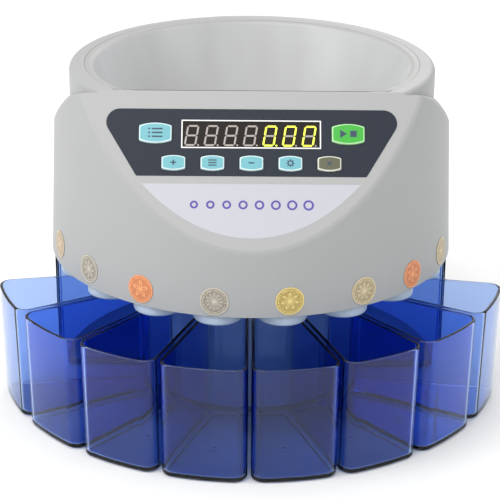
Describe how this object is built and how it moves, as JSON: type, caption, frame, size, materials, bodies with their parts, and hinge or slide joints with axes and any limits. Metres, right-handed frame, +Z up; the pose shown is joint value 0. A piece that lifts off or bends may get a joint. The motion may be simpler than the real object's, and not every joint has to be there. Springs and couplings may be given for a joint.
{
  "type": "coin sorting machine",
  "caption": "Desktop coin sorting machine: a drum with a hopper and sloping keypad console on a column, with clear wedge-shaped coin cups round its front.",
  "frame": {"origin": "on the table, under the centre of the object's box; the drum's axis is 19.35 mm behind it", "axes": "+Z up, -Y towards the operator, who faces the console; +X to the operator's right"},
  "size_m": [0.3476, 0.3186, 0.2304],
  "materials": {
    "body_grey": "fine moulded texture",
    "bowl_grey": "smooth, slightly glossy",
    "chute_grey": "smooth",
    "clear_blue": "transparent tinted, polished",
    "foot_rubber": "matte",
    "panel_slate": "satin printed film",
    "label_white": "satin printed film",
    "display_black": "gloss",
    "digit_lit": "lit",
    "digit_dark": "unlit",
    "key_cyan": "satin",
    "key_green": "satin",
    "key_olive": "satin",
    "circuit_board": "solder mask",
    "ring_plastic": "hard, polished by coins",
    "sensor_black": "matte",
    "steel": "ground",
    "gear_plastic": "natural",
    "pinion_brass": "turned",
    "motor_steel": "plated",
    "black_plastic": "fine texture",
    "rocker_red": "gloss",
    "badge_tan": "embossed film",
    "badge_nickel": "embossed film",
    "badge_copper": "embossed film",
    "badge_gold": "embossed film",
    "badge_pale_gold": "embossed film"
  },
  "bodies": {
    "machine": {"housing_shell": "body_grey", "housing_floor": "body_grey", "base_column": "body_grey", "base_plate": "body_grey", "switch_bezel": "black_plastic", "hopper_bowl": "bowl_grey", "chute_1": "chute_grey", "chute_2": "chute_grey", "chute_3": "chute_grey", "chute_4": "chute_grey", "chute_5": "chute_grey", "chute_6": "chute_grey", "chute_7": "chute_grey", "chute_8": "chute_grey", "rear_cover": "clear_blue", "rubber_feet": "foot_rubber", "keypad_panel": "panel_slate", "name_label": "label_white", "display_module": "display_black", "digits_lit": "digit_lit", "digits_unlit": "digit_dark", "keypad_board": "circuit_board", "main_board": "circuit_board", "sorting_ring": "ring_plastic", "coin_sensors": "sensor_black", "shaft_bearings": "steel", "case_screws": "steel", "inlet_pins": "pinion_brass", "drive_motor": "motor_steel", "transformer": "motor_steel", "power_inlet": "black_plastic", "badge_1": "badge_tan", "badge_2": "badge_nickel", "badge_3": "badge_copper", "badge_4": "badge_nickel", "badge_5": "badge_gold", "badge_6": "badge_pale_gold", "badge_7": "badge_copper", "badge_8": "badge_pale_gold"},
    "cup_1_body": {"cup_1": "clear_blue"},
    "cup_2_body": {"cup_2": "clear_blue"},
    "cup_3_body": {"cup_3": "clear_blue"},
    "cup_4_body": {"cup_4": "clear_blue"},
    "cup_5_body": {"cup_5": "clear_blue"},
    "cup_6_body": {"cup_6": "clear_blue"},
    "cup_7_body": {"cup_7": "clear_blue"},
    "cup_8_body": {"cup_8": "clear_blue"},
    "report_button_body": {"report_button": "key_cyan"},
    "start_button_body": {"start_button": "key_green"},
    "plus_button_body": {"plus_button": "key_cyan"},
    "batch_button_body": {"batch_button": "key_cyan"},
    "minus_button_body": {"minus_button": "key_cyan"},
    "set_button_body": {"set_button": "key_cyan"},
    "clear_button_body": {"clear_button": "key_olive"},
    "disc_body": {"feed_disc": "ring_plastic", "disc_shaft": "steel", "drive_gear": "gear_plastic"},
    "pinion_body": {"motor_pinion": "pinion_brass"},
    "rocker_body": {"power_rocker": "rocker_red"}
  },
  "joints": [
    {"name": "cup_1_pull", "type": "slide", "parent": "machine", "child": "cup_1_body", "axis": [-0.9354, -0.3535, 0], "range_m": [0, 0.1]},
    {"name": "cup_2_pull", "type": "slide", "parent": "machine", "child": "cup_2_body", "axis": [-0.7604, -0.6494, 0], "range_m": [0, 0.1]},
    {"name": "cup_3_pull", "type": "slide", "parent": "machine", "child": "cup_3_body", "axis": [-0.4955, -0.8686, 0], "range_m": [0, 0.1]},
    {"name": "cup_4_pull", "type": "slide", "parent": "machine", "child": "cup_4_body", "axis": [-0.1719, -0.9851, 0], "range_m": [0, 0.1]},
    {"name": "cup_5_pull", "type": "slide", "parent": "machine", "child": "cup_5_body", "axis": [0.1719, -0.9851, 0], "range_m": [0, 0.1]},
    {"name": "cup_6_pull", "type": "slide", "parent": "machine", "child": "cup_6_body", "axis": [0.4955, -0.8686, 0], "range_m": [0, 0.1]},
    {"name": "cup_7_pull", "type": "slide", "parent": "machine", "child": "cup_7_body", "axis": [0.7604, -0.6494, 0], "range_m": [0, 0.1]},
    {"name": "cup_8_pull", "type": "slide", "parent": "machine", "child": "cup_8_body", "axis": [0.9354, -0.3535, 0], "range_m": [0, 0.1]},
    {"name": "report_press", "type": "slide", "parent": "machine", "child": "report_button_body", "axis": [0, 0.8049, -0.5934], "range_m": [0, 0.0012], "stiffness_N_per_m": 500},
    {"name": "start_press", "type": "slide", "parent": "machine", "child": "start_button_body", "axis": [0, 0.8049, -0.5934], "range_m": [0, 0.0012], "stiffness_N_per_m": 500},
    {"name": "plus_press", "type": "slide", "parent": "machine", "child": "plus_button_body", "axis": [0, 0.8049, -0.5934], "range_m": [0, 0.0012], "stiffness_N_per_m": 500},
    {"name": "batch_press", "type": "slide", "parent": "machine", "child": "batch_button_body", "axis": [0, 0.8049, -0.5934], "range_m": [0, 0.0012], "stiffness_N_per_m": 500},
    {"name": "minus_press", "type": "slide", "parent": "machine", "child": "minus_button_body", "axis": [0, 0.8049, -0.5934], "range_m": [0, 0.0012], "stiffness_N_per_m": 500},
    {"name": "set_press", "type": "slide", "parent": "machine", "child": "set_button_body", "axis": [0, 0.8049, -0.5934], "range_m": [0, 0.0012], "stiffness_N_per_m": 500},
    {"name": "clear_press", "type": "slide", "parent": "machine", "child": "clear_button_body", "axis": [0, 0.8049, -0.5934], "range_m": [0, 0.0012], "stiffness_N_per_m": 500},
    {"name": "disc_spin", "type": "hinge", "parent": "machine", "child": "disc_body", "pos_m": [0, 0.01935, 0.137], "axis": [0, 0, 1], "continuous": true},
    {"name": "pinion_spin", "type": "hinge", "parent": "machine", "child": "pinion_body", "pos_m": [0, 0.05685, 0.118], "axis": [0, 0, 1], "continuous": true},
    {"name": "rocker_tip", "type": "hinge", "parent": "machine", "child": "rocker_body", "pos_m": [-0.024, 0.14885, 0.1185], "axis": [0, 0, 1], "range_deg": [0, 14]}
  ],
  "couplings": [
    {"joint": "pinion_spin", "follows": "disc_spin", "ratio": -4}
  ]
}
